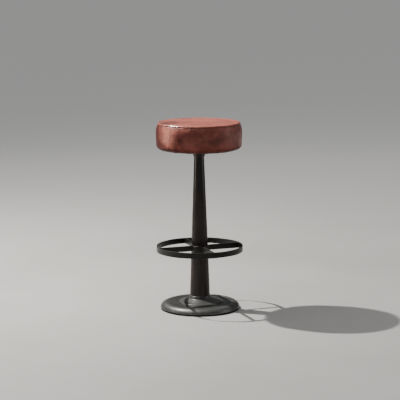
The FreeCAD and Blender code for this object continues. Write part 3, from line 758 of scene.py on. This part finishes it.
def band_press(profile, angles):
    """The simulated shift of the band's free part, outwards and upwards, at each point."""
    free = profile[tuck_rows:tuck_rows + side_rows + edge_rows + 1]
    coarse_rows = free[::2]
    coarse_angles = even_angles(trial_segments)
    points, faces = turn_profile(coarse_rows, coarse_angles)
    rows, count = len(coarse_rows), len(coarse_angles)
    unevenness = np.random.default_rng(band_seed).normal(0, first_unevenness, (rows, count))
    unevenness[[0, -1]] = 0
    radius = polar(points)[0]
    points[:, :2] *= (1 + unevenness.ravel() / radius)[:, None]
    held = [*range(count), *range((rows - 1) * count, rows * count)]
    shift = press_out("band_trial", points, faces, held, growth=0.022, cap=5 * mm)
    outwards = (shift[:, 0] * points[:, 0] + shift[:, 1] * points[:, 1]) / radius
    evened = 0.85
    fine = []
    for part in (outwards, shift[:, 2]):
        table = part.reshape(rows, count)
        table = table - evened * table.mean(axis=1, keepdims=True)
        table = np.array([np.interp(angles, coarse_angles, line, period=full_turn) for line in table])
        whole = np.zeros((len(profile), len(angles)))
        whole[tuck_rows:tuck_rows + len(free)] = resample(table, len(free), 0)
        fine.append(whole.ravel())
    return fine


def side_band():
    """Makes the band and returns its outer points, by row and angle, with their angles."""
    profile = band_profile()
    angles = band_angles()
    points, faces = turn_profile(profile, angles, flip=True)
    pressed_out, pressed_up = band_press(profile, angles)
    radius, angle = polar(points)
    height = points[:, 2].copy()
    above = height - seat_underside
    below = seam_level - height
    near_seam = fade(below, 8 * mm)
    under = np.clip((under_edge_center[0] + 14 * mm - radius) / (24 * mm), 0, 1)
    past_cover = np.clip((radius - cover_radius) / (8 * mm), 0, 1)
    on_side = (height > seat_underside + 6 * mm).astype(float)

    # Ripples of the leather, and the relief of its upright seam
    broad = 0.4 * mm * waves(angle, (3, 5, 8, 13), 20 * (height - belly_level))
    puckers = 0.35 * mm * near_seam * waves(angle, band_ripples, 0.6)
    from_seam = (angle - seam_angle) * seat_radius
    by_seam = hill(from_seam, 9 * mm)
    groove = -0.9 * mm * hill(from_seam, 0.8 * mm)
    stitch_dents = -0.35 * mm * hill(np.abs(from_seam) - stitch_offset, 0.9 * mm)
    shoulders = 0.5 * mm * hill(np.abs(from_seam) - 3.0 * mm, 2.6 * mm)
    outwards = on_side * (broad + groove + stitch_dents + shoulders) + puckers
    outwards += pressed_out * (1 - by_seam)

    # How much fuller the leather stands, most of all at its lower and upper corners
    fullness = 0.8 + 2.2 * hill(above - 12 * mm, 12 * mm)
    fullness += 1.4 * hill(above - 82 * mm, 16 * mm)
    outwards += fullness * mm * past_cover * (1 - fade(below, 6 * mm))
    pleats = 0.5 * mm * under * (1 + waves(angle, pleat_ripples))
    points[:, 0] += outwards * np.cos(angle)
    points[:, 1] += outwards * np.sin(angle)
    points[:, 2] += pressed_up * (1 - by_seam) + pleats * (height < seat_underside + 3 * mm)
    points[:, 2] -= 1.4 * mm * past_cover * np.clip(1 - above / (16 * mm), 0, 1)

    piece = new_piece("seat_leather_band", points, faces, leather)
    # Lighter places: wear, and the painted highlight on the left side
    wear_and_highlight_patches = patches(wear_and_highlight_places, angle, height)
    aged = patches(aged_places, angle, height)
    # Painted shade on the lowest part of the band, round its lower edge
    low_edge_shade = np.clip(1.28 - above / (15 * mm), 0, 1)
    low_side = 0.9 * hill(above, 28 * mm)
    # Painted shadow just below the seam under the piping
    seam_shadow = 0.45 * fade(below, 3.5 * mm)
    creased = 0.20 + 0.9 * near_seam + 0.25 * under + 0.5 * by_seam + 0.4 * wear_and_highlight_patches
    mark(
        piece,
        rubbed=np.clip(0.35 * near_seam + wear_and_highlight_patches, 0, 1) * (1 - low_edge_shade),
        wrinkled=np.clip(creased, 0, 1),
        aged=np.clip(1.1 * low_edge_shade + seam_shadow + aged, 0, 1),
        dull=np.clip(low_edge_shade + low_side + 1.2 * aged ** 1.5, 0, 1),
        polished=0.4 * wear_and_highlight_patches,
    )
    thicken(piece, leather_thickness)
    keep(piece, "seat", "brown_leather", "seat_side_band")
    return points.reshape(len(profile), len(angles), 3), angles


# Rows of stitches and weld drops
def bead_mesh(name, length, width, sides=8, rings=5):
    """A small closed bead along X, to be repeated by a node group."""
    points = [(-length / 2, 0, 0)]
    for k in range(1, rings):
        turn = math.pi * k / rings
        along = -length / 2 * math.cos(turn)
        reach = width / 2 * math.sin(turn) ** 0.6
        for j in range(sides):
            spin = full_turn * j / sides
            points.append((along, reach * math.cos(spin), reach * math.sin(spin)))
    points.append((length / 2, 0, 0))
    last = len(points) - 1
    faces = []
    for j in range(sides):
        step = (j + 1) % sides
        faces.append((0, 1 + step, 1 + j))
        faces.append((last, last - sides + j, last - sides + step))
        for k in range(rings - 2):
            row = 1 + k * sides
            faces.append((row + j, row + step, row + sides + step, row + sides + j))
    return new_piece(name, points, faces, thread)


def bead_row_group():
    """A node group that sets a bead at even steps along every line of a mesh."""
    tree = bpy.data.node_groups.new("bead_row", "GeometryNodeTree")
    add_socket(tree, "Lines", "Geometry")
    inputs = [add_socket(tree, "Bead", "Object"), add_socket(tree, "Material", "Material")]
    inputs += [add_socket(tree, label, "Float") for label in ("Pitch", "Tilt", "Unevenness")]
    add_socket(tree, "Beads", "Geometry", "OUTPUT")
    inside = tree.nodes.new("NodeGroupInput").outputs
    out = tree.nodes.new("NodeGroupOutput")

    curve = put(tree, "GeometryNodeMeshToCurve", {"Mesh": inside["Lines"]}).outputs["Curve"]
    values = {"Curve": curve, "Length": inside["Pitch"]}
    steps = put(tree, "GeometryNodeResampleCurve", values, mode="LENGTH").outputs["Curve"]

    # Each bead lies along its line, with its top outward, and leans a little
    along = put(tree, "GeometryNodeInputTangent").outputs["Tangent"]
    face_out = put(tree, "GeometryNodeInputNormal").outputs["Normal"]
    turned = put(tree, "FunctionNodeAlignRotationToVector", {"Vector": along}, axis="X")
    values = {"Rotation": turned.outputs["Rotation"], "Vector": face_out}
    turned = put(tree, "FunctionNodeAlignRotationToVector", values, axis="Z", pivot_axis="X")
    lean = put(tree, "ShaderNodeCombineXYZ", {"Z": inside["Tilt"]}).outputs["Vector"]
    values = {"Rotation": turned.outputs["Rotation"], "Rotate By": lean}
    leaning = put(tree, "FunctionNodeRotateRotation", values, rotation_space="LOCAL")

    low = calc(tree, "SUBTRACT", 1.0, inside["Unevenness"])
    high = calc(tree, "ADD", 1.0, inside["Unevenness"])
    sizes = put(tree, "FunctionNodeRandomValue", {"Min": low, "Max": high, "Seed": 5}, data_type="FLOAT")
    bead = put(tree, "GeometryNodeObjectInfo", {"Object": inside["Bead"]}).outputs["Geometry"]
    values = {"Points": steps, "Instance": bead, "Rotation": leaning.outputs["Rotation"]}
    values["Scale"] = sizes.outputs["Value"]
    beads = put(tree, "GeometryNodeInstanceOnPoints", values).outputs["Instances"]
    real = put(tree, "GeometryNodeRealizeInstances", {"Geometry": beads}).outputs["Geometry"]
    values = {"Geometry": real, "Material": inside["Material"]}
    fill(out, {"Beads": put(tree, "GeometryNodeSetMaterial", values).outputs["Geometry"]})
    return tree, [socket.identifier for socket in inputs]


row_nodes, row_inputs = bead_row_group()


def bead_rows(name, lines, bead, material, pitch, tilt, uneven):
    """Sets beads along some lines of points and returns them as one plain mesh."""
    points, edges = [], []
    for line in lines:
        start = len(points)
        points += [tuple(point) for point in line]
        edges += [(k, k + 1) for k in range(start, len(points) - 1)]
    mesh = bpy.data.meshes.new(name + "_lines")
    mesh.from_pydata(points, edges, [])
    carrier = add_object(name + "_lines", mesh)
    rows = carrier.modifiers.new("rows", "NODES")
    rows.node_group = row_nodes
    for key, value in zip(row_inputs, (bead, material, pitch, tilt, uneven)):
        rows[key] = value
    solid = carrier.evaluated_get(bpy.context.evaluated_depsgraph_get())
    beads = bpy.data.meshes.new_from_object(solid)
    beads.name = name
    piece = add_object(name, beads)
    discard(carrier, bead)
    return piece


stitch_pitch = 4.2 * mm
stitch_length = 3.3 * mm
thread_radius = 0.42 * mm


def seam_stitches(band_points, angles):
    """Two rows of thread beside the band's upright seam, from the piping to under the seat."""
    rows = band_points[tuck_rows + 2:tuck_rows + side_rows + edge_rows]
    lift = 0.05 * mm + thread_radius / 2
    lines = []
    for side in (-1, 1):
        turn = seam_angle + side * stitch_offset / seat_radius
        line = []
        for row in rows:
            reach = np.interp(turn, angles, polar(row)[0]) + lift
            level = np.interp(turn, angles, row[:, 2])
            line.append((reach * math.cos(turn), reach * math.sin(turn), level))
        lines.append(line)
    bead = bead_mesh("stitch", stitch_length, 2 * thread_radius)
    stitches = bead_rows("seat_seam_stitches", lines, bead, thread, stitch_pitch, 0.06, 0.05)
    keep(stitches, "seat", "brown_leather")


weld_pitch = 1.8 * mm
weld_length = 3.4 * mm
weld_width = 3.6 * mm
weld_end_gap = 1.2 * mm
weld_waver = 0.15 * mm
weld_points = 9


def ring_welds():
    """Fillet welds up both sides of each spoke, where it meets the hub and the hoop."""
    corner = bar_thickness / 2
    reaches = [math.sqrt(r ** 2 - corner ** 2) for r in (hub_radius, hoop_radius - bar_thickness)]
    heights = np.linspace(spoke_low.z + weld_end_gap, spoke_high.z - weld_end_gap, weld_points)
    lines = []
    for number in range(4):
        turn = full_turn / 4 * number
        out = Vector((math.cos(turn), math.sin(turn), 0))
        side = Vector((-math.sin(turn), math.cos(turn), 0))
        wave = [weld_waver * math.sin(3.0 * k + number) for k in range(weld_points)]
        for reach in reaches:
            for sign in (-1, 1):
                foot = out * reach + side * sign * corner
                lines.append([foot + side * sign * w + Vector((0, 0, h)) for w, h in zip(wave, heights)])
    bead = bead_mesh("weld_drop", weld_length, weld_width, sides=9, rings=6)
    welds = bead_rows("foot_ring_welds", lines, bead, black_bar, weld_pitch, 0.35, 0.12)
    keep(welds, "stand", "black_steel")


# Leather top panel
panel_grid = 120
panel_seam_overlap = 0.6 * mm

# Rows of the panel's turned-in rim: how far out and up each lies from the rim
panel_tucks = ((0.1 * mm, -1.6 * mm), (0.25 * mm, -3.4 * mm), (0.3 * mm, -5.2 * mm))

# The middle of the painted shade on its left part
panel_patch = (-138 * mm, 18 * mm)


def disc_grid(radius, count):
    """Points and faces of a disc made of squares pressed into a circle, and its rim in order."""
    steps = np.linspace(-1, 1, count + 1)
    points = []
    for v in steps:
        for u in steps:
            if u == 0 and v == 0:
                reach, turn = 0.0, 0.0
            elif abs(u) > abs(v):
                reach, turn = u, math.pi / 4 * v / u
            else:
                reach, turn = v, math.pi / 2 - math.pi / 4 * u / v
            points.append((radius * reach * math.cos(turn), radius * reach * math.sin(turn)))
    side = count + 1
    corners = [j * side + i for j in range(count) for i in range(count)]
    faces = [(first, first + 1, first + side + 1, first + side) for first in corners]
    rim = list(range(side))
    rim += [j * side + count for j in range(1, side)]
    rim += [count * side + i for i in range(count - 1, -1, -1)]
    rim += [j * side for j in range(count - 1, 0, -1)]
    return np.array(points), faces, rim


def crown_level(radius):
    """Height of the seat's top at a distance from its middle."""
    rise = panel_top - panel_rim_level
    sphere = (panel_radius ** 2 + rise ** 2) / (2 * rise)
    return panel_top - (sphere - np.sqrt(sphere ** 2 - radius ** 2))


def panel_press():
    """The simulated shift of the top panel between its rim seams, for every point of its grid."""
    half = panel_grid // 2
    flat, faces, rim = disc_grid(panel_radius - panel_seam_overlap, half)
    points = np.column_stack([flat, crown_level(polar(flat)[0])])
    unevenness = np.random.default_rng(panel_seed).normal(0, first_unevenness, len(points))
    unevenness[rim] = 0
    points[:, 2] += unevenness
    shift = press_out("panel_trial", points, faces, rim, growth=0.010, cap=4 * mm)
    table = shift.reshape(half + 1, half + 1, 3)
    return resample(resample(table, panel_grid + 1, 0), panel_grid + 1, 1).reshape(-1, 3)


def top_panel():
    """The top's leather: its crown with soft dents, and its rim tucked down to the seam."""
    flat, faces, rim = disc_grid(panel_radius + panel_seam_overlap, panel_grid)
    radius, angle = polar(flat)
    from_rim = panel_radius - radius
    level = crown_level(radius)
    level += 0.9 * mm * fade(from_rim, 12 * mm)
    level += 0.30 * mm * np.exp(-from_rim / (9 * mm)) * waves(angle, band_ripples, 1.9)
    level += 0.45 * mm * np.sin(31 * flat[:, 0] + 1.0) * np.sin(27 * flat[:, 1] + 0.4)
    shift = panel_press()
    level += 0.45 * (shift[:, 2] - shift[:, 2].mean())
    points = np.column_stack([flat + 0.6 * shift[:, :2], level])
    last = rim
    rows = [points]
    for out, drop in panel_tucks:
        ring = points[rim].copy()
        reach = polar(ring)[0]
        ring[:, :2] *= ((reach + out) / reach)[:, None]
        ring[:, 2] += drop
        start = sum(len(row) for row in rows)
        fresh = list(range(start, start + len(rim)))
        faces += zip(last, fresh, fresh[1:] + fresh[:1], last[1:] + last[:1])
        rows.append(ring)
        last = fresh
    points = np.concatenate(rows)
    piece = new_piece("seat_leather_top", points, faces, leather)
    far = panel_radius - polar(points)[0]
    off_center = np.hypot(points[:, 0] - panel_patch[0], points[:, 1] - panel_patch[1])
    # Painted shade on the left part of the top, darker and less glossy there
    painted_top_shade = hill(off_center, 70 * mm)
    mark(
        piece,
        rubbed=0.32 * np.exp(-far / (7 * mm)) + 0.25,
        wrinkled=0.15 + 0.5 * np.exp(-far / (12 * mm)),
        aged=painted_top_shade,
        dull=0.6 * painted_top_shade,
    )
    thicken(piece, leather_thickness)
    keep(piece, "seat", "brown_leather", "seat_top_panel")


# Piping
piping_segments = 900
piping_sides = 20


def seat_piping():
    """The leather-covered cord of the top seam, with fine gathers across it."""
    angles = even_angles(piping_segments)
    turns = even_angles(piping_sides)
    profile = [
        (piping_circle_radius + piping_radius * math.sin(t), piping_level + piping_radius * math.cos(t))
        for t in turns
    ]
    points, faces = turn_profile(profile, angles, closed=True, flip=True)
    angle = polar(points)[1]
    ring = [piping_circle_radius * np.cos(angle), piping_circle_radius * np.sin(angle)]
    ring.append(np.full(len(angle), piping_level))
    out = (points - np.column_stack(ring)) / piping_radius
    slant = 2.0 * np.repeat(turns, len(angles))
    gathers = 0.10 * mm * waves(angle, (211, 257, 173), slant) + 0.08 * mm * waves(angle, (17, 29, 41))
    points += out * gathers[:, None]
    piece = new_piece("seat_piping_welt", points, faces, leather)
    shine = 0.45 + 0.55 * patches(piping_shine, angle, points[:, 2])
    inwards = -(out[:, 0] * np.cos(angle) + out[:, 1] * np.sin(angle))
    mark(
        piece,
        rubbed=0.12 + 0.16 * np.clip(out[:, 2], 0, 1),
        polished=np.clip(0.4 + out[:, 2], 0, 1) * shine,
        wrinkled=np.full(len(points), 0.3),
        # Painted shade on the lower half of the piping
        aged=0.7 * np.clip(0.1 - out[:, 2], 0, 1),
        dull=np.clip(2.5 * inwards, 0, 1),
    )
    keep(piece, "seat", "brown_leather", "seat_piping")


# Foam
foam_segments = 180
foam_middle = 2 * mm


def foam_block():
    """The moulded foam under the leather: a closed crowned form with a pocket for the board."""
    inset = leather_thickness + soft_gap
    pocket = board_high.x + soft_gap
    lower_radius = under_edge_radius - inset
    first = math.asin((pocket - under_edge_center[0]) / lower_radius)
    edge = [under_edge(turn, lower_radius) for turn in np.linspace(first, under_edge_angle, 3)]
    side_top = (seam_radius - inset, piping_low.z - 2 * soft_gap)
    shoulder = (panel_radius - 2.5 * mm, piping_low.z - 2 * soft_gap)
    profile = arc_points(*edge, 8)
    profile += arc_points(edge[2], (seat_radius - inset, belly_level), side_top, 24)
    profile += line_points(side_top, shoulder, 2)
    crown = np.linspace(panel_radius - 4 * mm, foam_middle, 24)
    profile += [(r, float(crown_level(r)) - inset - 0.5 * mm) for r in crown]
    profile += line_points((foam_middle, board_high.z), (pocket, board_high.z), 14)
    points, faces = turn_profile(profile, even_angles(foam_segments), closed=True)
    piece = new_piece("seat_foam_block", points, faces, foam)
    keep(piece, "seat", "foam", "seat_foam")


# Dust cover
cover_grid = 110
cover_thickness = 0.6 * mm
cover_slack_radius = 104 * mm
cover_flat_radius = 82 * mm


def cover_sheet():
    """The black cloth under the seat, stepped down over the leather's turned-under edge, with slack
    between its staples and a slight wave at its rim.
    """
    flat, faces = disc_grid(cover_radius, cover_grid)[:2]
    distance, angle = polar(flat)
    step = np.clip((distance - (turn_under_radius - 5 * mm)) / (5 * mm), 0, 1)
    level = board_low.z - cover_thickness - step * leather_thickness
    slack = hill(distance - cover_slack_radius, 12 * mm)
    level -= 0.7 * mm * slack * (1 + waves(angle, (18, 36, 54)))
    edge = np.exp(-(cover_radius - distance) / (5 * mm))
    level += 0.12 * mm * edge * np.cos(36 * angle)
    level[distance < cover_flat_radius] = board_low.z - cover_thickness
    points = np.column_stack([flat, level])
    piece = new_piece("seat_dust_cover", points, [face[::-1] for face in faces], dust_cloth)
    thicken(piece, cover_thickness - 0.05 * mm)
    keep(piece, "seat", "dust_cloth", "dust_cover")


foam_block()
band_surface, band_turns = side_band()
top_panel()
seat_piping()
seam_stitches(band_surface, band_turns)
ring_welds()
cover_sheet()


# Camera, floor and light
camera_distance = 6.366
camera_height = 1.481
camera_azimuth = math.radians(-20.0)
camera_pitch = 0.1605
camera_roll = -0.0065
camera_yaw = -0.0004
frame_pixels = 400
focal_pixels = 1579.3
sensor_width = 36.0
floor_half = 60.0

view_right = Vector((math.cos(camera_azimuth), math.sin(camera_azimuth), 0))
view_back = Vector((math.sin(camera_azimuth), -math.cos(camera_azimuth), 0))


def seen_place(right, back, up):
    """A place given as the camera sees the stool: to its right, towards the camera and up."""
    return view_right * right + view_back * back + Vector((0, 0, up))


def make_camera():
    data = bpy.data.cameras.new("camera")
    data.sensor_width = sensor_width
    data.lens = focal_pixels * sensor_width / frame_pixels
    data.clip_end = 200.0
    camera = add_object("camera", data)
    turn = Matrix.Rotation(camera_azimuth + camera_yaw, 4, "Z")
    tilt = Matrix.Rotation(math.pi / 2 - camera_pitch, 4, "X") @ Matrix.Rotation(camera_roll, 4, "Z")
    camera.matrix_world = Matrix.Translation(seen_place(0, camera_distance, camera_height)) @ turn @ tilt
    bpy.context.scene.camera = camera


def make_floor():
    """A plain pale floor, lighter far away."""
    material, tree, place = new_finish("pale_floor")
    away = put(tree, "ShaderNodeVectorMath", {0: place}, operation="LENGTH").outputs["Value"]
    color = paint(
        tree,
        rgb(0.32, 0.316, 0.308),
        (remap(tree, grain(tree, place, 1.6), 0.3, 0.7), rgb(0.355, 0.350, 0.342)),
        (remap(tree, away, 1.2, 4.5), rgb(0.60, 0.60, 0.585)),
    )
    dress(material, Base_Color=color, Roughness=0.75)
    corners = [(x * floor_half, y * floor_half, 0) for x, y in ((-1, -1), (1, -1), (1, 1), (-1, 1))]
    new_piece("floor", corners, [(0, 1, 2, 3)], material)


def area_light(name, right, back, up, target, size, power, color=(1.0, 1.0, 1.0)):
    """A soft light, placed as the camera sees the stool and pointed at a height on its axis."""
    data = bpy.data.lights.new(name, "AREA")
    data.shape = "RECTANGLE"
    data.size, data.size_y = size
    data.energy = power
    data.color = color
    place = seen_place(right, back, up)
    aim = (Vector((0, 0, target)) - place).to_track_quat("-Z", "Y")
    add_object(name, data).matrix_world = Matrix.Translation(place) @ aim.to_matrix().to_4x4()


def sky_light():
    """A very soft light from high above, that keeps the far floor pale."""
    data = bpy.data.lights.new("sky", "SUN")
    data.energy = 1.3
    data.angle = math.radians(60.0)
    aim = seen_place(-0.25, 0.10, 1.0).to_track_quat("Z", "Y")
    add_object("sky", data).matrix_world = aim.to_matrix().to_4x4()


def make_world():
    world = bpy.data.worlds.new("studio")
    bpy.context.scene.world = world
    world.use_nodes = True
    fill(world.node_tree.nodes["Background"], {"Color": rgb(0.80, 0.82, 0.84), "Strength": 0.15})


make_camera()
make_floor()
make_world()
sky_light()
area_light("key", -1.63, -0.66, 2.95, 0.4, (0.06, 0.06), 270.0, (1.0, 0.955, 0.90))
area_light("left_panel", -2.14, 0.18, 1.00, 0.6, (0.30, 1.5), 14.0, (1.0, 0.87, 0.75))
area_light("right_panel", 2.35, 0.25, 1.00, 0.45, (0.26, 1.5), 7.5)
area_light("front_fill", 0.6, 3.4, 2.6, 0.4, (2.2, 1.4), 4.0)
